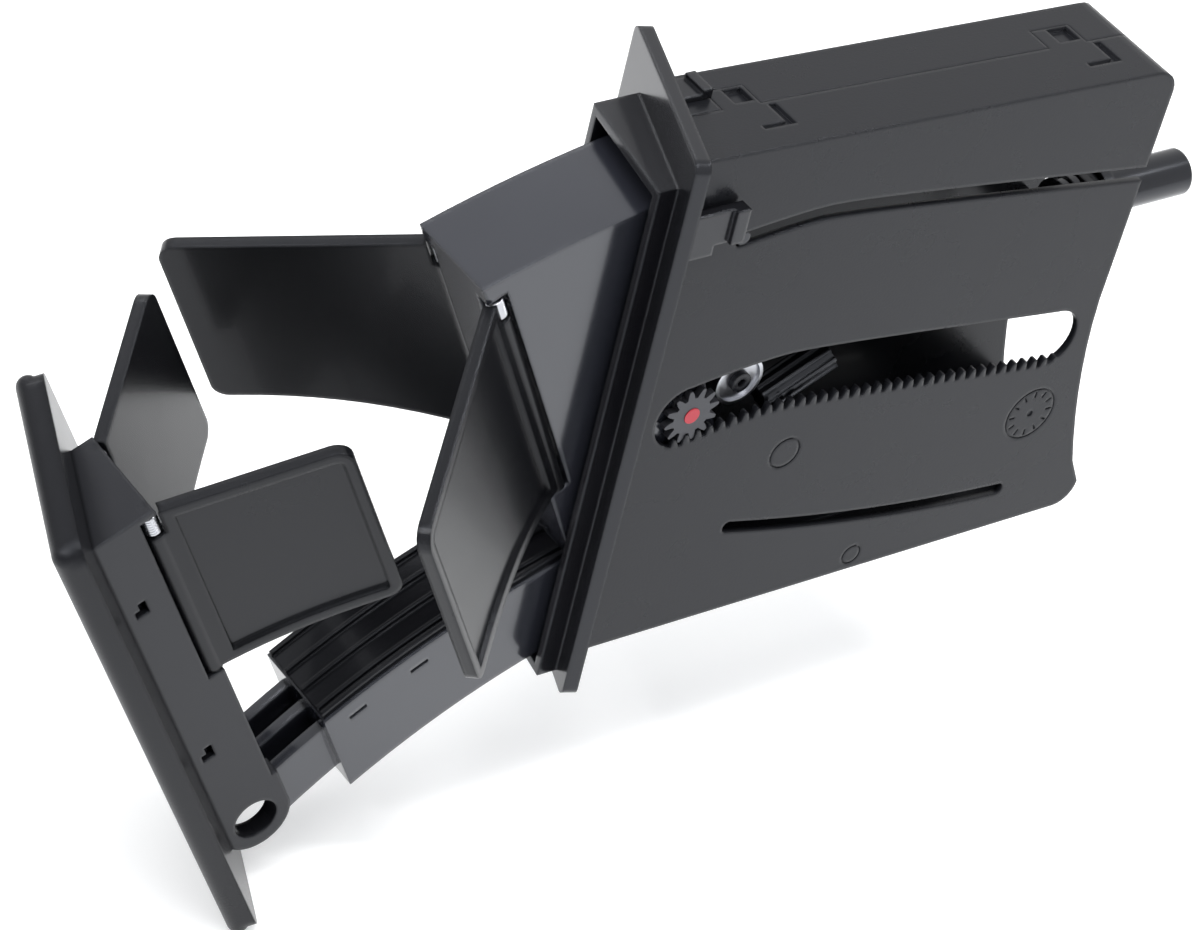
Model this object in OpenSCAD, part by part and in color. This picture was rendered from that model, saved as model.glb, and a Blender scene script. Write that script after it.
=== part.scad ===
// Pull-out cup holder for a car's dash: a flat cassette housing with a slanted bezel, a drawer that
// runs out of it on an arc, four folding flaps that ring the cup, a rotary damper on an arc rack
// and a push latch. +X goes into the dash, +Z is up the bezel, Y is across the cassette.
// The drawer and all that rides on it is drawn shut and then swung out about the arc's centre.

/* [Arc of travel] */
// Centre of the drawer's arc behind the bezel
arc_x = 51; // [45:1:57]
// Depth of the arc's centre below the bezel's middle
arc_drop = 266.8; // [262:0.2:272]
// Swing of the drawer from shut to the pose as drawn
swing = 26.5; // [25:0.5:27.5]

/* [Housing] */
// Overall thickness of the cassette
case_w = 34; // [34:0.5:36]
// Wall of the cassette
case_wall = 2; // [1.6:0.1:2]
// Height of the top edge at the bezel
case_top_front = 77; // [76:0.5:78]
// Height of the top edge at the rear
case_top_rear = 70; // [69:0.5:71]
// Length from the bezel to the rear edge's waist
case_len = 151; // [150:1:156]
// How far the bottom rear corner flares past the waist
case_flare = 16; // [12:1:18]
// Half the width of the guide slot
slot_half = 2.2; // [2.1:0.05:2.4]

/* [Bezel] */
// Slant of the bezel to the cassette
yaw = 21; // [19:0.5:22]
// Width of the bezel plate along its slant
bezel_w = 61; // [59:0.5:63]
// Height of the bezel plate's top edge
bezel_top = 84.5; // [84:0.5:86]
// Thickness of the bezel plate
bezel_t = 4; // [3.5:0.1:5]
// Width of the mouth that the drawer comes through
mouth_w = 32.4; // [32.2:0.1:32.8]

/* [Drawer] */
// Overall thickness of the drawer
drawer_w = 28; // [27.6:0.1:28.4]
// Radius of the drawer's top edge
drawer_r_top = 337.5; // [336.5:0.1:338]
// Height of the drawer's foot under the cup
foot_h = 28.5; // [27.5:0.1:29]
// Radius of the floor that the cup stands on
floor_r = 228; // [226:0.5:230]
// Front face of the drawer's rear block when shut
block_x = 91.5; // [90.5:0.5:92.5]
// Wall of the drawer
drawer_wall = 2.2; // [1.8:0.1:2.4]
// Height of the front cover
panel_h = 168; // [164:1:172]
// Width of the front cover along its slant
panel_w = 58; // [56:0.5:60]
// Thickness of the front cover
panel_t = 7.5; // [7:0.5:8]

/* [Flaps] */
// Reach of a rear flap from its pin to its tip
rear_flap_len = 72; // [68:0.5:73]
// Angle at which the rear flaps stand open
rear_open = 42.4; // [40:0.1:43]
// Reach of a front flap from its pin to its tip
front_flap_len = 50.5; // [49:0.5:51]
// Angle at which the near front flap stands
front_open_near = 20; // [18:0.5:22]
// Angle at which the far front flap stands
front_open_far = 45; // [43:0.5:46]
// Thickness of a flap at its rim
flap_rim_t = 3.4; // [3:0.1:3.4]
// Radius of the hinge pins
pin_r = 1.25; // [1:0.05:1.4]

/* [Damper and latch] */
// Tooth module of the rack and the damper gear
tooth_m = 1.2; // [1.2:0.05:1.25]
// Teeth on the damper gear
gear_teeth = 12; // [12:1:12]
// Teeth on the rack's whole circle
rack_teeth = 426; // [425:1:427]
// Radius of the guide arc's follower peg
peg_r = 2; // [1.8:0.05:2]
// Radius of the latch barrel behind the housing
barrel_r = 6.5; // [6:0.1:7]
// Length of the barrel that stands behind the housing
barrel_len = 29; // [25:1:30]

/* [Hidden] */
fine = 360;
case_half = case_w / 2;
case_in = case_half - case_wall;
drawer_half = drawer_w / 2;
fit = 0.2;
gap = 0.4;
part_y = 1;
drawer_r_bottom = floor_r - foot_h;
case_bottom = 6.1 - arc_height(drawer_r_bottom, 0);
// The arc rack, the gear that rolls on it and the guide slot share the drawer's centre
rack_r = tooth_m * rack_teeth / 2;
gear_r = tooth_m * gear_teeth / 2;
gear_centre_r = rack_r + gear_r;
gear_tip_r = gear_r + tooth_m;
tooth_half = tooth_m * PI / 4 - 0.12;
gear_angle = 18.3;
reel_r = gear_centre_r - 1;
reel_angle = gear_angle + 4.3;
window_top_r = gear_centre_r + gear_tip_r + 2;
window_x = [11.2, 136.4];
// The slots and the rack leave the circle here and run flatter to the rear
turn_x = 38.5;
turn_pull = 0.182;
turn_run = 10;
guide_r = 318;
guide_angle = 20;
guide_x = 14.4;
// The mouth in the bezel
mouth_top = 70;
mouth_bottom = arc_height(drawer_r_bottom, -18.3) - 0.6;
mouth_half = mouth_w / 2;
bezel_bottom = -case_bottom - 5.5;
bezel_mid = (bezel_top + bezel_bottom) / 2;
bezel_h = bezel_top - bezel_bottom;
bezel_back = -1;
bezel_shift = 1.4;
skirt_len = 1.5;
lip_front = 15.3;
lip_yaw = 10;
skirt_t = 1.8;
// The front box and cover of the drawer
cover_x = -22.6;
cover_y = 1.5;
cover_back = cover_x + panel_t / cos(yaw);
box_half = 14.5;
box_rear = -3;
box_top = 68.3;
lug_x = -11.4;
lug_z = arc_height(floor_r - 10.7, lug_x);
box_bottom = lug_z + 9;
lug_hole_r = 6.2;
lug_r = 10.2;
lug_back = -9;
platform_x = 15;
hook_z = 50;
hook_x = [-9, 5];
clip_z = [37, -26];
clip_x = -17.5;
striker_x = block_x + 29.5;
// Hinge axes: the rear flaps fold outside the front ones
rear_axis_x = block_x + 2.8;
rear_axis_y = drawer_half - flap_rim_t / 2 - 0.4;
front_axis_x = box_rear - 1.5;
front_axis_y = rear_axis_y - 0.4;
knuckle_r = 2.7;
rear_z = [-15, 62];
front_z = [2, 66];
latch_y = -4;
latch_z = 21.5;
plunger_r = 3.3;
bracket_x = case_len - 9;
spring_gap = 8;
bore_r = pin_r + 0.05;

function on_arc(r, a) = [arc_x + r * sin(a), -arc_drop + r * cos(a)];
function arc_height(r, x) = -arc_drop + sqrt(r * r - (x - arc_x) * (x - arc_x));
function arc_slope(r, x) = (arc_x - x) / sqrt(r * r - (x - arc_x) * (x - arc_x));
// Height of a slot or of the rack: the circle first, then a flatter run to the rear
function guide_z(r, x) = x <= turn_x ? arc_height(r, x)
    : arc_height(r, turn_x) + arc_slope(r, turn_x) * (x - turn_x)
        - turn_pull * pow(x - turn_x, 2) / (x - turn_x + turn_run);
function guide_angle_at(r, x) = atan(guide_z(r, x + 0.5) - guide_z(r, x - 0.5));
// Corner points of a rounded corner, counter-clockwise from angle a
function corner(x, z, r, a) = [for (i = [0:6]) [x + r * cos(a + i * 15), z + r * sin(a + i * 15)]];

// A flat shape drawn in X and Z, as thick as from y_from to y_to
module slab(y_from, y_to) {
    translate([0, y_to, 0]) rotate([90, 0, 0]) linear_extrude(y_to - y_from) children();
}

// The sector of the arc's circle between two angles from straight up
module sector(a_from, a_to) {
    far = 420;
    polygon([[arc_x, -arc_drop], on_arc(far, a_from), on_arc(far, (a_from + a_to) / 2), on_arc(far, a_to)]);
}

// A band along the arc of travel
module band(r_in, r_out, a_from, a_to) {
    intersection() {
        translate([arc_x, -arc_drop]) difference() {
            circle(r_out, $fn = fine);
            circle(r_in, $fn = fine);
        }
        sector(a_from, a_to);
    }
}

// Swings what is drawn shut to the open pose
module swung() {
    translate([arc_x, 0, -arc_drop]) rotate([0, -swing, 0]) translate([-arc_x, 0, arc_drop]) children();
}

module rounded_plate(w, h, r) {
    square([w - 2 * r, h], center = true);
    square([w, h - 2 * r], center = true);
    for (x = [-1, 1], y = [-1, 1]) translate([x * (w / 2 - r), y * (h / 2 - r)]) circle(r, $fn = 48);
}

// Everything in front of a slanted plane that crosses the middle at x
module ahead_of(x, a = yaw) {
    rotate([0, 0, -a]) translate([x * cos(a) - 100, -80, -200]) cube([100, 160, 400]);
}

// Side outline of the cassette, drawn in by a wall
function rear_edge(z) = case_len + case_flare * pow(max(0, (-5 - z) / (case_bottom - 5)), 1.8);
module case_outline(wall) {
    top_z = case_top_rear - wall;
    low_z = -case_bottom + wall;
    r = max(7 - wall, 2);
    polygon(concat(
        [[-30, low_z]],
        corner(rear_edge(low_z) - wall - r - 1, low_z + r, r, -90),
        [for (i = [1:8]) let (z = low_z + r + i * 8.5) [rear_edge(z) - wall, z]],
        corner(case_len + 2 - wall - r, top_z - r, r, 0),
        [[-30, case_top_front - wall + 30 * (case_top_front - case_top_rear) / case_len]]));
}

// The window over the rack, with the rack's teeth left standing in it
tooth_pitch = PI * tooth_m;
last_arc_tooth = floor(asin((turn_x - arc_x) / rack_r) * rack_teeth / 360);
function tooth_x(i) = i <= last_arc_tooth ? arc_x + rack_r * sin(i * 360 / rack_teeth)
    : arc_x + rack_r * sin(last_arc_tooth * 360 / rack_teeth) + (i - last_arc_tooth) * tooth_pitch * 0.996;
module rack_window() {
    low_r = rack_r - 1.25 * tooth_m;
    steps = 24;
    run = window_x[1] - window_x[0];
    xs = [for (i = [0:steps]) window_x[0] + run * i / steps];
    difference() {
        union() {
            polygon(concat([for (x = xs) [x, guide_z(window_top_r, x)]],
                [for (i = [steps:-1:0]) [xs[i], guide_z(low_r, xs[i])]]));
            for (x = window_x) translate([x, (guide_z(window_top_r, x) + guide_z(low_r, x)) / 2])
                circle((guide_z(window_top_r, x) - guide_z(low_r, x)) / 2, $fn = 48);
        }
        for (i = [last_arc_tooth - 9:last_arc_tooth + 30]) rack_tooth(tooth_x(i));
    }
}

module rack_tooth(x) {
    translate([x, guide_z(rack_r, x)]) rotate(guide_angle_at(rack_r, x))
        polygon([[-1.75 * tooth_half, -1.8 * tooth_m], [-tooth_half, 0], [-0.5 * tooth_half, 0.95 * tooth_m],
            [0.5 * tooth_half, 0.95 * tooth_m], [tooth_half, 0], [1.75 * tooth_half, -1.8 * tooth_m]]);
}

// The slot that the drawer's peg runs in, open at the rear
module guide_slot() {
    steps = 30;
    xs = [for (i = [0:steps]) guide_x + 165 * i / steps];
    polygon(concat([for (x = xs) [x, guide_z(guide_r, x) + slot_half]],
        [for (i = [steps:-1:0]) [xs[i], guide_z(guide_r, xs[i]) - slot_half]]));
    translate([guide_x, guide_z(guide_r, guide_x)]) circle(slot_half, $fn = 32);
}

// The lower slot, a shallow curve that sags between its ends
module lower_slot(half) {
    steps = 10;
    run = 98;
    path = [for (i = [0:steps]) let (t = i / steps) [36.5 + run * t, -50.4 - 25 * t + 8.7 * t * t]];
    polygon(concat([for (p = path) p + [0, half]], [for (i = [steps:-1:0]) path[i] - [0, half]]));
    for (i = [0, steps]) translate(path[i]) circle(half, $fn = 24);
}

// Tabs across the parting line, on the top and on the bottom edge
tab_x = [[14, 26], [122, 135]];
tab_y = 9;
module tabs(grow) {
    for (t = tab_x) {
        translate([t[0] - grow, part_y - 1, 60]) cube([t[1] - t[0] + 2 * grow, tab_y + grow, 30]);
        translate([t[0] - grow, part_y - 1, -95]) cube([t[1] - t[0] + 2 * grow, tab_y + grow, 18]);
    }
}

module case_shell() {
    difference() {
        slab(-case_half, case_half) case_outline(0);
        slab(-case_in, case_in) case_outline(case_wall);
        // The back is open where the drawer's tail comes out
        translate([case_len - 14, -case_in, -57]) cube([40, 2 * case_in, 109]);
    }
}

module housing_near() {
    color("#26272b") difference() {
        intersection() {
            case_shell();
            union() {
                translate([-40, -60, -120]) cube([260, 60 + part_y, 240]);
                tabs(0);
            }
        }
        ahead_of(bezel_back + 0.02);
        slab(-case_half - 1, -case_in + 1) {
            rack_window();
            guide_slot();
            lower_slot(slot_half - 0.3);
        }
        // Stepped pockets beside the tabs in the top
        for (t = tab_x) {
            top_notch(t[0] - 3, t[0] + 6, 10.5, 13, 1.2);
            top_notch(t[0] + 5, t[1] - 1, 2.5, 8.5, 1.5);
            top_notch(t[1] + 1.5, t[1] + 4, -8, 0, 1.2);
            top_notch(t[0] + 6, t[1] + 4, -9, -7.6, 1.2);
        }
        translate([49.6, -case_half - 0.01, -29.1]) rotate([-90, 0, 0]) ring_mark(5, 0.6);
        translate([85.2, -case_half - 0.01, -75]) rotate([-90, 0, 0]) ring_mark(3.2, 0.5);
        translate([138, -case_half - 0.01, -41]) rotate([-90, 0, 0]) tick_dial(8.5);
    }
}

// A flat-bottomed pocket in the sloping top
function case_top(x) = case_top_front - (case_top_front - case_top_rear) * x / case_len;
module top_notch(x_from, x_to, y_from, y_to, deep) {
    slab(y_from, y_to) polygon([[x_from, case_top(x_from) - deep], [x_to, case_top(x_to) - deep],
        [x_to, case_top(x_to) + 3], [x_from, case_top(x_from) + 3]]);
}

// A shallow round groove such as a mould leaves
module ring_mark(r, w) {
    difference() {
        cylinder(r = r, h = 0.5, $fn = 48);
        translate([0, 0, -1]) cylinder(r = r - w, h = 3, $fn = 48);
    }
}

// A plain dial of twelve ticks
module tick_dial(r) {
    ring_mark(r, 0.5);
    for (i = [0:11]) rotate([0, 0, i * 30]) translate([r - 3, -0.3, 0]) cube([2, 0.6, 0.4]);
    cylinder(r = 1, h = 0.4, $fn = 24);
}

module housing_far() {
    color("#232428") difference() {
        intersection() {
            case_shell();
            translate([-40, part_y + 0.1, -120]) cube([260, 60, 240]);
        }
        tabs(0.15);
        ahead_of(bezel_back + 0.02);
        slab(case_in - 1, case_half + 1) guide_slot();
    }
}

// The slanted plate round the mouth, with a lip in front and a skirt round the cassette
module bezel() {
    color("#1d1e21") difference() {
        union() {
            translate([bezel_back, 0, bezel_mid]) rotate([0, 0, -yaw]) translate([-bezel_t, bezel_shift, 0])
                rotate([0, 90, 0]) linear_extrude(bezel_t) rounded_plate(bezel_h, bezel_w, 3);
            difference() {
                slab(-mouth_half - 2.4, mouth_half + 2.4) mouth_outline(2.4);
                ahead_of(-lip_front, lip_yaw);
                behind(bezel_back - 0.5);
            }
            difference() {
                slab(-case_half - fit - skirt_t, case_half + fit + skirt_t) case_outline(-fit - skirt_t);
                ahead_of(bezel_back - 1);
                behind(bezel_back + skirt_len);
            }
            hooks();
        }
        slab(-mouth_half, mouth_half) mouth_outline(0);
        difference() {
            slab(-case_half - fit, case_half + fit) case_outline(-fit);
            ahead_of(bezel_back);
        }
    }
}

// Everything behind a slanted plane that crosses the middle at x
module behind(x) {
    rotate([0, 0, -yaw]) translate([x * cos(yaw), -80, -200]) cube([300, 160, 400]);
}

module mouth_outline(grow) {
    translate([-60, mouth_bottom - grow]) square([90, mouth_top - mouth_bottom + 2 * grow]);
}

// Spring hooks that hold the bezel in the dash, one on each side and two on top
module hooks() {
    for (s = [-1, 1]) translate([s < 0 ? hook_x[0] : hook_x[1], s * (case_half + 1.5), hook_z]) {
        translate([0, s > 0 ? -0.6 : -2, 0]) cube([11, 2.6, 3]);
        translate([0, s > 0 ? -0.6 : -2, 3]) cube([19, 2.6, 10]);
        translate([15, s > 0 ? 1.4 : -3.4, 3]) cube([4, 2, 10]);
    }
    translate([1, 6, case_top_front - 1.2]) cube([13, 8, 2.4]);
    translate([11, 6, case_top_front - 0.6]) cube([3, 8, 3]);
}

// Cross plate between the side walls that carries the latch
module latch_bracket() {
    color("#202124") difference() {
        union() {
            translate([bracket_x, -case_in, 2]) cube([3, 2 * case_in, 10]);
            translate([bracket_x, latch_y - 7.5, 2]) cube([3, 15, latch_z + 6]);
            translate([bracket_x, latch_y, latch_z]) rotate([0, 90, 0]) cylinder(r = barrel_r + 1, h = 6, $fn = 64);
        }
        translate([bracket_x - 20, latch_y, latch_z]) rotate([0, 90, 0])
            cylinder(r = barrel_r + 0.4, h = 40, $fn = 64);
    }
}

module latch_barrel() {
    color("#151517") difference() {
        union() {
            translate([bracket_x - 6, latch_y, latch_z]) rotate([0, 90, 0])
                cylinder(r = barrel_r + 0.37, h = 12, $fn = 64);
            translate([bracket_x - 3, latch_y, latch_z]) rotate([0, 90, 0])
                cylinder(r = barrel_r + 1, h = 3, $fn = 64);
            translate([bracket_x + 6, latch_y, latch_z]) rotate([0, 90, 0])
                cylinder(r = barrel_r, h = case_len + barrel_len - bracket_x - 6, $fn = 64);
            translate([bracket_x + 6, latch_y, latch_z]) rotate([0, 90, 0])
                cylinder(r = barrel_r + 2.4, h = 3.5, $fn = 64);
        }
        translate([bracket_x - 8, latch_y, latch_z]) rotate([0, 90, 0])
            cylinder(r = plunger_r + 0.05, h = case_len + barrel_len - bracket_x + 4, $fn = 48);
    }
}

module latch_plunger() {
    color("#cfcfc8") translate([0, latch_y, latch_z]) rotate([0, 90, 0]) {
        translate([0, 0, case_len - 24]) cylinder(r = plunger_r, h = 26, $fn = 48);
        translate([0, 0, case_len - 25]) cylinder(r = plunger_r - 0.8, h = 1.1, $fn = 48);
    }
}

// Side outline of the drawer: rear block with its tail, and the long foot under the cup
module block_outline(wall) {
    intersection() {
        translate([arc_x, -arc_drop]) difference() {
            circle(drawer_r_top - wall, $fn = fine);
            circle(drawer_r_bottom + wall, $fn = fine);
        }
        translate([block_x, 0]) polygon([[wall, -arc_drop], [12, -arc_drop], [14, -60], [32.5, -34], [48.5, -30],
            [49.5, -4], [37.5, 0], [35.5, 16], [42.5, 29.5], [65.5, 29.5], [71.5, 28.5], [71.5, 40],
            [48.5, 90], [wall, 90]]);
    }
}

module foot_outline(wall) {
    intersection() {
        translate([arc_x, -arc_drop]) difference() {
            circle(floor_r - wall, $fn = fine);
            circle(drawer_r_bottom + (wall > 0 ? -5 : 0), $fn = fine);
        }
        translate([platform_x + wall, -arc_drop]) square([block_x - platform_x + 2 - wall, arc_drop]);
    }
}

module drawer_frame() {
    color("#2c2d32") swung() difference() {
        union() {
            difference() {
                slab(-drawer_half, drawer_half) block_outline(0);
                slab(-drawer_half + drawer_wall, drawer_half - drawer_wall) union() {
                    block_outline(drawer_wall);
                    translate([block_x + 20, -32]) square([80, 84]);
                }
            }
            difference() {
                slab(-drawer_half, drawer_half) foot_outline(0);
                slab(-drawer_half + drawer_wall, drawer_half - drawer_wall) foot_outline(drawer_wall);
            }
            // Hinge posts that the rear pins run in
            for (s = [-1, 1]) translate([block_x, s > 0 ? rear_axis_y - 5 : -drawer_half, -22])
                cube([8, drawer_half - rear_axis_y + 5, 88]);
            neck();
            // Arm of the far cheek that carries the spring's drum
            slab(drawer_half - drawer_wall, drawer_half) reel_arm();
            // Boss that the damper is screwed to
            translate([on_arc(gear_centre_r, gear_angle)[0], -drawer_half + 6, on_arc(gear_centre_r, gear_angle)[1]])
                rotate([90, 0, 0]) cylinder(r = 5.5, h = 6, $fn = 48);
        }
        for (s = [-1, 1]) {
            rear_hinge_cut(s);
            translate(concat(on_arc(guide_r, guide_angle)[0], s * drawer_half, on_arc(guide_r, guide_angle)[1]))
                rotate([90, 0, 0]) translate([0, 0, -4]) cylinder(r = peg_r + 0.03, h = 8, $fn = 48);
        }
        // Two slits in the near side of the foot
        slab(-drawer_half - 1, -drawer_half + drawer_wall + 1) {
            band(floor_r - 6, floor_r - 4.8, -7.6, -6.2);
            band(floor_r - 6, floor_r - 4.8, -2.6, -1.2);
        }
        translate([on_arc(gear_centre_r, gear_angle)[0], -drawer_half - 1, on_arc(gear_centre_r, gear_angle)[1]])
            rotate([-90, 0, 0]) cylinder(r = 3, h = 6, $fn = 48);
    }
}

module reel_arm() {
    p = on_arc(reel_r, reel_angle);
    translate(p) circle(9, $fn = 64);
    translate([p[0] - 18, p[1] - 6]) square([18, 14]);
    translate([p[0] + 3, p[1] - 18]) square([8, 17]);
}

// Two rails and a web that join the foot to the front box
module neck() {
    difference() {
        union() {
            slab(-10, 10) neck_outline(drawer_r_bottom + 5, drawer_r_bottom + 8.5);
            for (y = [-10, -1.5, 7]) slab(y, y + 3) neck_outline(drawer_r_bottom + 5, floor_r - 7);
        }
        slab(-box_half, lug_back) lug_outline();
    }
}

module neck_outline(r_in, r_out) {
    intersection() {
        band(r_in, r_out, -20, 0);
        translate([box_rear, -arc_drop]) square([platform_x + 2 - box_rear, arc_drop]);
    }
}

// Room for a rear flap's knuckle and its swing, and the bores that hold its pin
module rear_hinge_cut(s) {
    z_from = rear_z[0] - gap;
    tall = rear_z[1] - rear_z[0] + 2 * gap;
    translate([rear_axis_x, s * rear_axis_y, z_from]) {
        cylinder(r = knuckle_r + gap, h = tall, $fn = 48);
        translate([-8, s > 0 ? -flap_rim_t / 2 - gap : -9 + flap_rim_t / 2 + gap, 0]) cube([8, 9, tall]);
        translate([-8, s > 0 ? 0 : -9, 0]) cube([8 + knuckle_r + gap, 9, tall]);
    }
    translate([rear_axis_x, s * rear_axis_y, rear_z[0] - 5]) cylinder(r = pin_r, h = rear_z[1] - rear_z[0] + 8, $fn = 32);
}

// Box behind the front cover, with the front pins' bearings and the lug with the round hole
module front_box() {
    color("#2a2b30") swung() difference() {
        union() {
            translate([cover_x - 12, -box_half, box_bottom]) cube([box_rear - cover_x + 12, 2 * box_half, box_top - box_bottom]);
            slab(-box_half, lug_back) lug_outline();
            slab(-10, 10) translate([box_rear - 8, lug_z - 3]) square([8, 20]);
        }
        ahead_of(cover_back);
        // Hollow from the front
        difference() {
            translate([cover_x - 12, -box_half + drawer_wall, box_bottom + 6])
                cube([front_axis_x - 5 - cover_x + 12, 2 * (box_half - drawer_wall), box_top - box_bottom - 9.3]);
            translate([cover_x - 12, -box_half, 20]) cube([40, 2 * box_half, 2]);
            translate([cover_x - 12, -box_half, -20]) cube([40, 2 * box_half, 2]);
        }
        slab(-box_half - 1, lug_back + 0.5) translate([lug_x, lug_z]) circle(lug_hole_r, $fn = 64);
        slab(lug_back, box_half) translate([lug_x, lug_z]) circle(lug_hole_r + 1.4, $fn = 64);
        for (s = [-1, 1]) front_hinge_cut(s);
        for (z = clip_z) {
            translate([clip_x, -box_half - 1, z]) cube([3.6, drawer_wall + 2, 2.6]);
            translate([clip_x + 1.5, -box_half - 1, z + 2.5]) cube([2.1, drawer_wall + 2, 2.4]);
        }
    }
}

module lug_outline() {
    translate([lug_x, lug_z]) circle(lug_r, $fn = 64);
    translate([lug_x - lug_r, lug_z]) square([2 * lug_r, 12]);
}

module front_hinge_cut(s) {
    z_from = front_z[0] - gap;
    tall = front_z[1] - front_z[0] + 2 * gap;
    inside = flap_rim_t / 2 + 1.2;
    translate([front_axis_x, s * front_axis_y, z_from]) {
        cylinder(r = knuckle_r + gap, h = tall, $fn = 48);
        translate([0, s > 0 ? -inside : -9 + inside, 0]) cube([8, 9, tall]);
        translate([-knuckle_r - gap, s > 0 ? 0 : -9, 0]) cube([8 + knuckle_r + gap, 9, tall]);
    }
    translate([front_axis_x, s * front_axis_y, front_z[0] - 5]) cylinder(r = pin_r, h = front_z[1] - front_z[0] + 7, $fn = 32);
}

// The slanted front cover, with a rolled long edge on each side
module front_cover() {
    color("#222327") swung() translate([cover_x + cover_y * tan(yaw), cover_y, 3]) rotate([0, 0, -yaw]) {
        edge = 3;
        rotate([0, 90, 0]) translate([0, 0, edge]) linear_extrude(panel_t - edge)
            rounded_plate(panel_h, panel_w, 5);
        rotate([0, 90, 0]) linear_extrude(edge + 0.1) rounded_plate(panel_h - 2 * edge, panel_w - 2 * edge, 4);
        for (s = [-1, 1]) translate([edge, s * (panel_w / 2 - edge), 0])
            cylinder(r = edge, h = panel_h - 2 * edge, center = true, $fn = 48);
        for (s = [-1, 1]) translate([edge, 0, s * (panel_h / 2 - edge)]) rotate([90, 0, 0])
            cylinder(r = edge, h = panel_w - 2 * edge, center = true, $fn = 48);
        for (s = [-1, 1], t = [-1, 1]) translate([edge, s * (panel_w / 2 - edge), t * (panel_h / 2 - edge)])
            sphere(r = edge, $fn = 32);
    }
}

// Ribbed floor that the cup stands on
module cup_floor() {
    color("#1a1b1e") swung() {
        slab(-drawer_half + 1, drawer_half - 1) floor_strip(floor_r + 0.05, floor_r + 0.8);
        for (y = [-drawer_half + 1, -10.6, -3, 4.6, drawer_half - 2.2]) slab(y, y + 1.2) floor_strip(floor_r + 0.1, floor_r + 2);
    }
}

module floor_strip(r_in, r_out) {
    intersection() {
        band(r_in, r_out, -20, 20);
        translate([platform_x + 0.5, -110]) square([block_x - platform_x - 1, 120]);
    }
}

module guide_peg(s) {
    p = on_arc(guide_r, guide_angle);
    color("#c9c9c4") swung() translate([p[0], s * (drawer_half - 2), p[1]]) rotate([s > 0 ? -90 : 90, 0, 0])
        cylinder(r = peg_r, h = case_half - drawer_half + 1.8, $fn = 48);
}

module guide_peg_near() {
    guide_peg(-1);
}

module guide_peg_far() {
    guide_peg(1);
}

// Catch between the tail's cheeks that the latch grips when the drawer is shut
module latch_striker() {
    inner = drawer_half - drawer_wall;
    color("#8e9094") swung() difference() {
        translate([striker_x, -inner + 0.05, latch_z - 5]) cube([4, 2 * inner - 0.1, 10]);
        translate([striker_x - 1, latch_y, latch_z]) rotate([0, 90, 0]) cylinder(r = 2.6, h = 6, $fn = 48);
    }
}

module damper_body() {
    p = on_arc(gear_centre_r, gear_angle);
    color("#2a2b2e") swung() translate([p[0], 0, p[1]]) rotate([90, 0, 0]) difference() {
        union() {
            translate([0, 0, drawer_half]) cylinder(r = 5.8, h = 0.4, $fn = 48);
            translate([0, 0, drawer_half - 5]) cylinder(r = 3, h = 5.1, $fn = 48);
        }
        translate([0, 0, -10]) cylinder(r = 1.3, h = 60, $fn = 32);
    }
}

module reel_place() {
    p = on_arc(reel_r, reel_angle);
    swung() translate([p[0], 0, p[1]]) rotate([90, 0, 0]) children();
}

// Drum of the flat spring that drives the drawer out, on the far cheek's arm
module spring_reel() {
    inner = drawer_half - drawer_wall;
    color("#3a3b40") reel_place() difference() {
        union() {
            translate([0, 0, -inner]) cylinder(r = 3, h = 2 * inner - 0.6, $fn = 48);
            translate([0, 0, -inner]) cylinder(r = 6, h = 8, $fn = 64);
        }
        translate([0, 0, inner - 6]) cylinder(r = 1.2, h = 8, $fn = 32);
    }
}

module eject_spring() {
    inner = drawer_half - drawer_wall;
    color("#b4b6ba") reel_place() translate([0, 0, -inner + 8.1]) difference() {
        cylinder(r = 7.4, h = 14, $fn = 64);
        translate([0, 0, -1]) cylinder(r = 3, h = 16, $fn = 48);
        translate([0, 0, 13.2]) cylinder(r = 6.4, h = 2, $fn = 64);
    }
}

// Ribbed rod behind the drum, on a foot that stands on the far cheek's arm
module tail_rod() {
    p = on_arc(reel_r, reel_angle);
    color("#141416") swung() {
        translate([p[0] + 5, -8, p[1] - 14]) rotate([0, 90, 0]) {
            cylinder(r = 4.2, h = 22, $fn = 64);
            for (i = [0:9]) rotate([0, 0, i * 36]) translate([3.8, -0.5, 0]) cube([1.2, 1, 22]);
        }
        translate([p[0] + 5, -8, p[1] - 16]) cube([4, 8 + drawer_half - drawer_wall, 4]);
    }
}

module hinge_pins() {
    color("#b9bbc0") swung() for (s = [-1, 1]) {
        translate([rear_axis_x, s * rear_axis_y, rear_z[0] - 4.9])
            cylinder(r = pin_r, h = rear_z[1] - rear_z[0] + 7.8, $fn = 32);
        translate([front_axis_x, s * front_axis_y, front_z[0] - 4.9])
            cylinder(r = pin_r, h = front_z[1] - front_z[0] + 6.8, $fn = 32);
    }
}

// Torsion springs on the pins, in the gap between each flap's knuckles
module flap_springs() {
    color("#a9abb0") swung() for (s = [-1, 1]) {
        translate([rear_axis_x, s * rear_axis_y, rear_z[1] - spring_gap / 2]) torsion_spring();
        translate([front_axis_x, s * front_axis_y, front_z[1] - spring_gap / 2]) torsion_spring();
    }
}

module torsion_spring() {
    turns = 6;
    wire = 0.55;
    translate([0, 0, -turns * wire]) rotate_extrude($fn = 32) {
        translate([pin_r, 0]) square([0.6, 2 * turns * wire]);
        for (i = [0:turns - 1]) translate([pin_r + 0.6, (2 * i + 1) * wire]) circle(wire, $fn = 14);
    }
}

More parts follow.
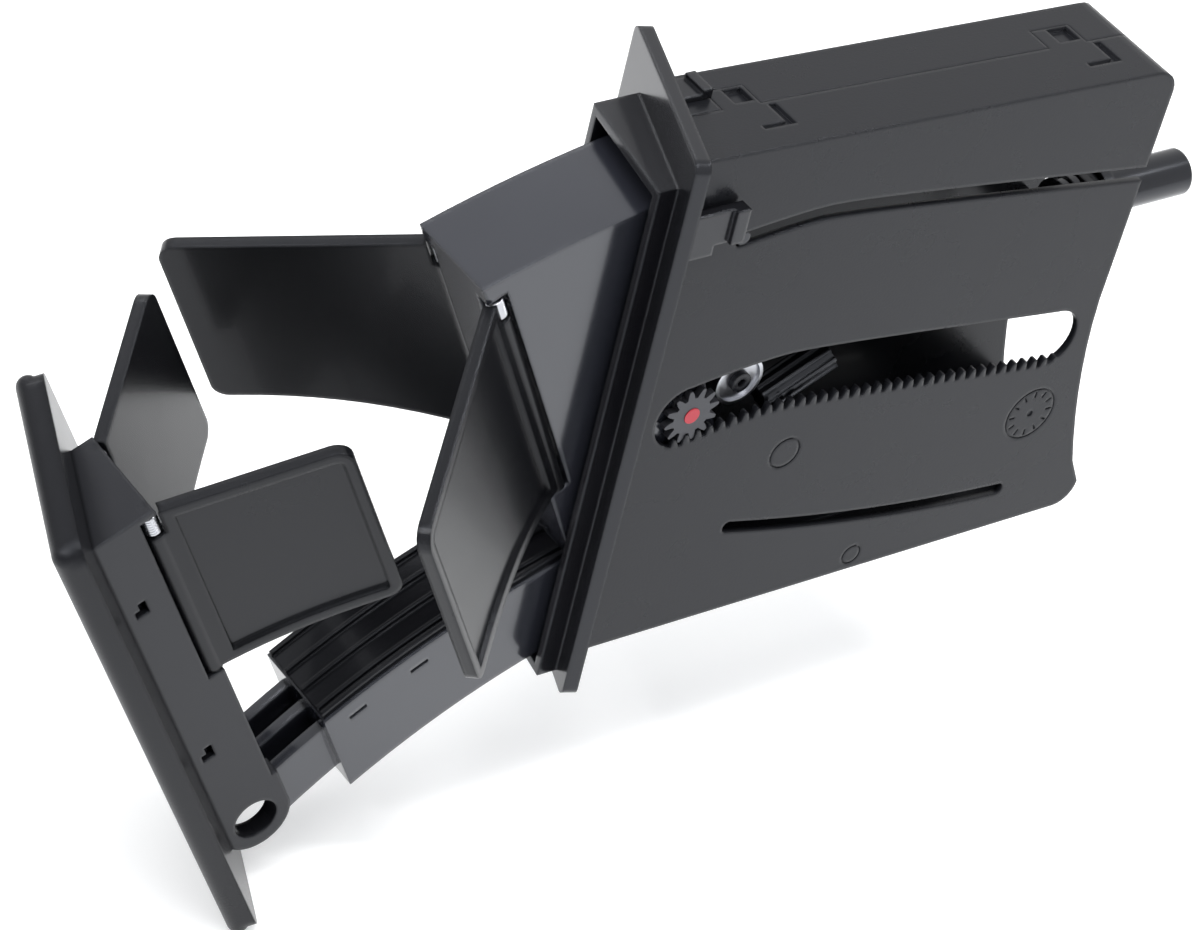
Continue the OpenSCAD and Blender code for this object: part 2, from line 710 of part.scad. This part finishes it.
// Outline of a flap from its pin to its tip: level top, round tip corners, arched bottom
function flap_points(len, z, dip, inset) = concat(
    [for (i = [0:10]) let (t = i / 10, u = t * (len - 6)) [u, z[0] + inset + dip * (1 - pow(1 - t, 2.2))]],
    corner(len - 4, z[0] + dip + 4, 4 - inset, -90),
    corner(len - 5, z[1] - 5, 5 - inset, 0),
    [[0, z[1] - inset]]);

module flap(len, z, dip) {
    rim = 3;
    root = knuckle_r + 0.5;
    difference() {
        union() {
            slab(-flap_rim_t / 2, flap_rim_t / 2) intersection() {
                difference() {
                    polygon(flap_points(len, z, dip, 0));
                    intersection() {
                        polygon(flap_points(len, z, dip, rim));
                        translate([root + 3, -100]) square([len - root - 3 - rim, 300]);
                    }
                }
                translate([0.5, -100]) square([len, 300]);
            }
            slab(-flap_rim_t / 2, flap_rim_t / 2 - 1.2) intersection() {
                polygon(flap_points(len, z, dip, rim - 0.1));
                translate([1, -100]) square([len - 1 - rim + 0.1, 300]);
            }
            translate([0, 0, z[0]]) cylinder(r = knuckle_r, h = z[1] - z[0], $fn = 48);
        }
        translate([0, 0, z[0] - 1]) cylinder(r = bore_r, h = z[1] - z[0] + 2, $fn = 32);
        // Notch for the torsion spring
        translate([0, 0, z[1] - spring_gap]) cylinder(r = knuckle_r + 0.6, h = spring_gap + 1, $fn = 48);
    }
}

module rear_flap(s) {
    swung() translate([rear_axis_x, s * rear_axis_y, 0]) rotate([0, 0, -s * rear_open]) mirror([1, 0, 0])
        mirror([0, s > 0 ? 0 : 1, 0]) flap(rear_flap_len, rear_z, 17);
}

module front_flap(s, angle) {
    swung() translate([front_axis_x, s * front_axis_y, 0]) rotate([0, 0, s * angle])
        mirror([0, s > 0 ? 0 : 1, 0]) flap(front_flap_len, front_z, 6);
}

module flap_rear_near() {
    color("#232428") rear_flap(-1);
}

module flap_rear_far() {
    color("#232428") rear_flap(1);
}

module flap_front_near() {
    color("#2b2c30") front_flap(-1, front_open_near);
}

module flap_front_far() {
    color("#2b2c30") front_flap(1, front_open_far);
}

// Twelve-tooth gear that runs on the arc rack, turned so that a tooth stands in a gap
module damper_gear() {
    p = on_arc(gear_centre_r, gear_angle);
    root_r = gear_r - 1.2 * tooth_m;
    color("#17181a") swung() translate([p[0], -drawer_half - 0.6, p[1]]) rotate([90, 0, 0]) difference() {
        union() {
            cylinder(r = root_r, h = 2, $fn = 48);
            rotate([0, 0, gear_turn]) for (i = [0:gear_teeth - 1]) rotate([0, 0, i * 360 / gear_teeth])
                linear_extrude(2) polygon([[root_r - 0.6, -1.15], [gear_r, -tooth_half], [gear_tip_r, -0.42],
                    [gear_tip_r, 0.42], [gear_r, tooth_half], [root_r - 0.6, 1.15]]);
        }
        translate([0, 0, -1]) cylinder(r = 2.35, h = 5, $fn = 48);
    }
}
// Where the rack's nearest gap lies under the gear decides how the gear is turned
open_angle = gear_angle - swing;
rack_pitch = 360 / rack_teeth;
gap_offset = open_angle / rack_pitch - floor(open_angle / rack_pitch) - 0.5;
gear_turn = -90 - gear_angle - gap_offset * 360 / gear_teeth;

module damper_hub() {
    p = on_arc(gear_centre_r, gear_angle);
    color("#c02a34") swung() translate([p[0], -drawer_half + 1, p[1]]) rotate([90, 0, 0]) {
        cylinder(r = 1.25, h = 1.6, $fn = 32);
        translate([0, 0, 1.6]) cylinder(r = 2.35, h = 2.2, $fn = 48);
    }
}

// Clips on the back of the cover that hold it to the front box
module cover_clips() {
    color("#1b1c1f") swung() for (z = clip_z)
        translate([clip_x + 0.3, -box_half + drawer_wall + 0.1, z]) cube([2.6, 1.6, 4]);
}

housing_near();
housing_far();
bezel();
latch_bracket();
latch_barrel();
latch_plunger();
drawer_frame();
front_box();
front_cover();
cup_floor();
guide_peg_near();
guide_peg_far();
latch_striker();
damper_body();
spring_reel();
eject_spring();
hinge_pins();
flap_springs();
flap_rear_near();
flap_rear_far();
flap_front_near();
flap_front_far();
damper_gear();
damper_hub();
tail_rod();
cover_clips();
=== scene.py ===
import bpy
import numpy as np
from mathutils import Matrix, Vector


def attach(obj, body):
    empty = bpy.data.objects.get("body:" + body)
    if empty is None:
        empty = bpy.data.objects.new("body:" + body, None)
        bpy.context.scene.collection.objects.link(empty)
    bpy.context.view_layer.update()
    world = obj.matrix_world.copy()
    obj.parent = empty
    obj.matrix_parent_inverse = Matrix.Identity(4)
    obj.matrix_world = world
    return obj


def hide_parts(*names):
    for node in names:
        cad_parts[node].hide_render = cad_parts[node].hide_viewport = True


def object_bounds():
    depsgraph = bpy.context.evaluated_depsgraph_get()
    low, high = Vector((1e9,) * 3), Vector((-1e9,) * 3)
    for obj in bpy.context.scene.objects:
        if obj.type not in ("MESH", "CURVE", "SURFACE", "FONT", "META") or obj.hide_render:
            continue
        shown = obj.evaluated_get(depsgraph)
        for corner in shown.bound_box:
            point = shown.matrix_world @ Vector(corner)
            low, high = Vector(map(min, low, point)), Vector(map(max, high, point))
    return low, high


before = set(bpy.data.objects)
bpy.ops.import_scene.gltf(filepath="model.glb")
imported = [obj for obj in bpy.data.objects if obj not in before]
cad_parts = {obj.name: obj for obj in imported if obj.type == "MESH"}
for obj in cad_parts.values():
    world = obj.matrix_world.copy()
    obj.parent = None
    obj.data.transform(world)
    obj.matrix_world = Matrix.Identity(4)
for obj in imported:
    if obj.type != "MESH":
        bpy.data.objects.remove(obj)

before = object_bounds()
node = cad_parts


def plastic(name, color, rough, grain=0.0, scale=1400.0, wear=0.04, coat=0.0,
            radius=0.0009, spec=0.5):
    """Moulded plastic: roughness = rough + 2 wear (noise - 0.5), bump height = 0.2 mm grain noise.

    The normals of edges are rounded by radius, in metres."""
    made = bpy.data.materials.new(name)
    made.use_nodes = True
    tree = made.node_tree
    shader = tree.nodes["Principled BSDF"]
    shader.inputs["Base Color"].default_value = (*color, 1)
    shader.inputs["IOR"].default_value = 1.49
    shader.inputs["Specular IOR Level"].default_value = spec
    shader.inputs["Specular Tint"].default_value = (0.86, 0.90, 1, 1)
    shader.inputs["Coat Weight"].default_value = coat
    shader.inputs["Coat Roughness"].default_value = 0.08
    place = tree.nodes.new("ShaderNodeTexCoord")
    cloud = tree.nodes.new("ShaderNodeTexNoise")
    cloud.inputs["Scale"].default_value = 38
    cloud.inputs["Detail"].default_value = 6
    spread = tree.nodes.new("ShaderNodeMapRange")
    spread.inputs["To Min"].default_value = rough - wear
    spread.inputs["To Max"].default_value = rough + wear
    tree.links.new(place.outputs["Object"], cloud.inputs["Vector"])
    tree.links.new(cloud.outputs["Fac"], spread.inputs["Value"])
    tree.links.new(spread.outputs["Result"], shader.inputs["Roughness"])
    edge = tree.nodes.new("ShaderNodeBevel")
    edge.samples = 4
    edge.inputs["Radius"].default_value = radius
    tree.links.new(edge.outputs["Normal"], shader.inputs["Normal"])
    if grain:
        fine = tree.nodes.new("ShaderNodeTexNoise")
        fine.inputs["Scale"].default_value = scale
        fine.inputs["Detail"].default_value = 3
        bump = tree.nodes.new("ShaderNodeBump")
        bump.inputs["Strength"].default_value = grain
        bump.inputs["Distance"].default_value = 0.0002
        tree.links.new(place.outputs["Object"], fine.inputs["Vector"])
        tree.links.new(fine.outputs["Fac"], bump.inputs["Height"])
        tree.links.new(edge.outputs["Normal"], bump.inputs["Normal"])
        tree.links.new(bump.outputs["Normal"], shader.inputs["Normal"])
    return made


def steel(name, color, rough):
    """Bright steel: the plastic's noise with metallic 1 and roughness = rough + 0.1 (noise - 0.5)."""
    made = plastic(name, color, rough, 0.12, 600, 0.05, radius=0.0002)
    made.node_tree.nodes["Principled BSDF"].inputs["Metallic"].default_value = 1.0
    return made


case_black = plastic("case_black", (0.0075, 0.0078, 0.0095), 0.28, 0.12,
                     coat=0.05, radius=0.0014, spec=0.20)
bezel_black = plastic("bezel_black", (0.0060, 0.0061, 0.0075), 0.22, 0.06,
                      coat=0.15, radius=0.0012, spec=0.32)
drawer_black = plastic("drawer_black", (0.0150, 0.0160, 0.0210), 0.17, 0.03,
                       coat=0.45, radius=0.0016, spec=0.5)
front_black = plastic("front_black", (0.0090, 0.0092, 0.0110), 0.26, 0.10,
                      coat=0.08, radius=0.0012, spec=0.26)
cover_black = plastic("cover_black", (0.0045, 0.0046, 0.0056), 0.26, 0.12,
                      coat=0.05, radius=0.0028, spec=0.18)
flap_black = plastic("flap_black", (0.0050, 0.0052, 0.0062), 0.26, 0.08,
                     coat=0.08, radius=0.0016, spec=0.20)
floor_black = plastic("floor_black", (0.0035, 0.0035, 0.0045), 0.22, 0.04,
                      coat=0.1, spec=0.22)
gloss_black = plastic("gloss_black", (0.004, 0.004, 0.005), 0.16)
grey_gear = plastic("grey_gear", (0.020, 0.020, 0.023), 0.38, 0.1, radius=0.0002)
hub_red = plastic("hub_red", (0.42, 0.008, 0.02), 0.35, radius=0.0003)
pale = plastic("pale", (0.50, 0.50, 0.47), 0.4)
spring_steel = steel("spring_steel", (0.52, 0.53, 0.56), 0.28)
pin_steel = steel("pin_steel", (0.55, 0.56, 0.58), 0.25)

# Each CAD node's material
finish = {
    "housing_near": case_black, "housing_far": case_black, "bezel": bezel_black,
    "latch_bracket": case_black, "latch_barrel": gloss_black, "latch_plunger": pale,
    "drawer_frame": drawer_black, "front_box": front_black, "front_cover": cover_black,
    "cup_floor": floor_black, "guide_peg_near": gloss_black, "guide_peg_far": gloss_black,
    "latch_striker": front_black, "damper_body": gloss_black, "spring_reel": front_black,
    "eject_spring": spring_steel, "tail_rod": gloss_black, "hinge_pins": pin_steel,
    "flap_springs": spring_steel, "flap_rear_near": flap_black, "flap_rear_far": flap_black,
    "flap_front_near": flap_black, "flap_front_far": flap_black, "damper_gear": grey_gear,
    "damper_hub": hub_red, "cover_clips": gloss_black,
}
# Small rounded edges, as on any moulded or turned piece, catch the light. Widths in metres
usual_edge = 0.0004
edge_width = {
    "damper_gear": 0.00012, "flap_springs": 0, "latch_plunger": 0.0003, "front_cover": 0.0014,
    "flap_rear_near": 0.0009, "flap_rear_far": 0.0009, "flap_front_near": 0.0009,
    "flap_front_far": 0.0009, "bezel": 0.0007, "drawer_frame": 0.0006,
}
for name, look in finish.items():
    piece = node[name]
    piece.data.materials.clear()
    piece.data.materials.append(look)
    for face in piece.data.polygons:
        face.material_index = 0
    width = edge_width.get(name, usual_edge)
    if width:
        rounding = piece.modifiers.new("edge", "BEVEL")
        rounding.width = width
        rounding.segments = 2
        rounding.limit_method = "ANGLE"
        rounding.angle_limit = 0.6

# Torsion springs of the four flaps. Each is a tube of radius wire along the helix
# p(t) = c + (coil cos t, coil sin t, rise t), with a straight leg at each end, drawn in the drawer's
# shut pose and then swung about the arc's centre to the open pose.
turns, wire, coil, length, leg = 6.5, 0.00042, 0.00193, 0.0066, 0.0016
end = 2 * np.pi * turns
rise = (length - 2 * wire) / end
t = np.linspace(0, end, 260)
helix = np.stack([coil * np.cos(t), coil * np.sin(t), rise * (t - end / 2)], 1)
head = helix[0] + np.outer(np.linspace(1, 0, 6)[:-1], [0, -leg, 0])
tail = helix[-1] + np.outer(np.linspace(0, 1, 6)[1:], [0, leg * np.cos(end), 0])
line = np.concatenate([head, helix, tail])
along = np.gradient(line, axis=0)
along /= np.linalg.norm(along, axis=1)[:, None]
side = np.cross(along, [0, 0, 1])
side /= np.linalg.norm(side, axis=1)[:, None]
over = np.cross(side, along)
ring = np.linspace(0, 2 * np.pi, 15)[:-1]
tube = line[:, None] + wire * (np.cos(ring)[None, :, None] * side[:, None]
                               + np.sin(ring)[None, :, None] * over[:, None])
arc_centre = np.array([0.051, 0, -0.2668])
swing = np.radians(26.5)
rear_pin, front_pin = (0.0943, 0.0119, 0.058), (-0.0045, 0.0115, 0.062)
around, rows = len(ring), len(line)
verts, faces = [], []
for x, y, z in (rear_pin, front_pin):
    for hand in (-1, 1):
        p = tube.reshape(-1, 3) * [1, hand, 1] + [x, hand * y, z] - arc_centre
        p = np.stack([p[:, 0] * np.cos(swing) - p[:, 2] * np.sin(swing), p[:, 1],
                      p[:, 0] * np.sin(swing) + p[:, 2] * np.cos(swing)], 1) + arc_centre
        first = len(verts) * len(p)
        i, j = np.meshgrid(np.arange(rows - 1), np.arange(around), indexing="ij")
        k = (j + 1) % around
        quads = np.stack([i * around + j, i * around + k,
                          (i + 1) * around + k, (i + 1) * around + j], -1).reshape(-1, 4)
        faces += (quads[:, ::hand] + first).tolist()
        last = first + (rows - 1) * around
        faces += [[first + n for n in range(around)][::-hand],
                  [last + n for n in range(around)][::hand]]
        verts.append(p)
wires = bpy.data.meshes.new("flap_spring_wires")
wires.from_pydata(np.concatenate(verts).tolist(), [], faces)
wires.validate()
wires.shade_smooth()
wires.materials.append(spring_steel)
springs = bpy.data.objects.new("flap_spring_wires", wires)
bpy.context.scene.collection.objects.link(springs)
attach(springs, "drawer")
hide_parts("flap_springs")

# Floor: a pale sheet half a millimetre below the object, with a little light of its own
floor_z = before[0][2] - 0.0005
bpy.ops.mesh.primitive_plane_add(size=3, location=(0, 0, floor_z))
ground = bpy.context.object
ground.name = "ground"
sheet = bpy.data.materials.new("ground")
sheet.use_nodes = True
base = sheet.node_tree.nodes["Principled BSDF"]
base.inputs["Base Color"].default_value = (0.88, 0.88, 0.88, 1)
base.inputs["Emission Color"].default_value = (1, 1, 1, 1)
base.inputs["Emission Strength"].default_value = 0.34
base.inputs["Roughness"].default_value = 0.9
ground.data.materials.append(sheet)

# World: white to the camera, to reflections and through glass. As light it is soft and
# grey, and its strength follows the ray's direction: brighter in front on the left, darker behind.
world = bpy.data.worlds.new("studio")
bpy.context.scene.world = world
world.use_nodes = True
tree = world.node_tree
tree.nodes.clear()
out = tree.nodes.new("ShaderNodeOutputWorld")
seen = tree.nodes.new("ShaderNodeBackground")
seen.inputs["Color"].default_value = (1, 1, 1, 1)
seen.inputs["Strength"].default_value = 1.0
lit = tree.nodes.new("ShaderNodeBackground")
lit.inputs["Color"].default_value = (0.93, 0.96, 1, 1)
way = tree.nodes.new("ShaderNodeTexCoord")
dot = tree.nodes.new("ShaderNodeVectorMath")
dot.operation = "DOT_PRODUCT"
dot.inputs[1].default_value = (-0.62, -0.55, 0.56)
span = tree.nodes.new("ShaderNodeMapRange")
span.inputs["From Min"].default_value = -0.7
span.inputs["From Max"].default_value = 1.0
span.inputs["To Min"].default_value = 0.06
span.inputs["To Max"].default_value = 0.75
tree.links.new(way.outputs["Generated"], dot.inputs[0])
tree.links.new(dot.outputs["Value"], span.inputs["Value"])
tree.links.new(span.outputs["Result"], lit.inputs["Strength"])
mix = tree.nodes.new("ShaderNodeMixShader")
path = tree.nodes.new("ShaderNodeLightPath")
white_to = path.outputs["Is Camera Ray"]
for kind in ("Is Glossy Ray", "Is Transmission Ray"):
    either = tree.nodes.new("ShaderNodeMath")
    either.operation = "MAXIMUM"
    tree.links.new(white_to, either.inputs[0])
    tree.links.new(path.outputs[kind], either.inputs[1])
    white_to = either.outputs[0]
tree.links.new(white_to, mix.inputs["Fac"])
tree.links.new(lit.outputs[0], mix.inputs[1])
tree.links.new(seen.outputs[0], mix.inputs[2])
tree.links.new(mix.outputs[0], out.inputs["Surface"])


def softbox(name, at, aim, size, watts):
    """Area lamp of size[0] by size[1] at a point, facing another point, in metres and watts."""
    lamp = bpy.data.lights.new(name, "AREA")
    lamp.shape = "RECTANGLE"
    lamp.size, lamp.size_y = size
    lamp.energy = watts
    holder = bpy.data.objects.new(name, lamp)
    bpy.context.scene.collection.objects.link(holder)
    holder.location = at
    holder.rotation_euler = (Vector(aim) - Vector(at)).to_track_quat("-Z", "Y").to_euler()


softbox("key", (-0.35, -0.3, 1.4), (0, 0, 0), (1.1, 1.1), 22)
softbox("edge", (0.80, -0.32, 1.15), (0, 0, 0), (0.08, 0.40), 8)
softbox("left", (-0.95, 0.30, 0.95), (-0.05, 0, 0), (0.60, 0.07), 5)
softbox("back", (0.1, 1.1, 1.0), (0, 0, 0), (1.2, 0.10), 4)

# Camera: it stands where the photograph was taken from, with the lens from the same solution
camera_at = (-0.6672, -0.7033, 0.7084)
right = Vector((0.805, -0.56, 0.196)).normalized()
up = Vector((0.227, 0.596, 0.771))
up = (up - right * up.dot(right)).normalized()
back = right.cross(up)
lens = bpy.data.cameras.new("camera")
lens.sensor_fit = "HORIZONTAL"
lens.sensor_width = 36
lens.lens = 142.35
lens.clip_start = 0.01
camera = bpy.data.objects.new("camera", lens)
bpy.context.scene.collection.objects.link(camera)
camera.matrix_world = Matrix([(right[i], up[i], back[i], camera_at[i]) for i in range(3)]
                             + [(0, 0, 0, 1)])
bpy.context.scene.camera = camera
bpy.context.scene.view_settings.view_transform = "Standard"
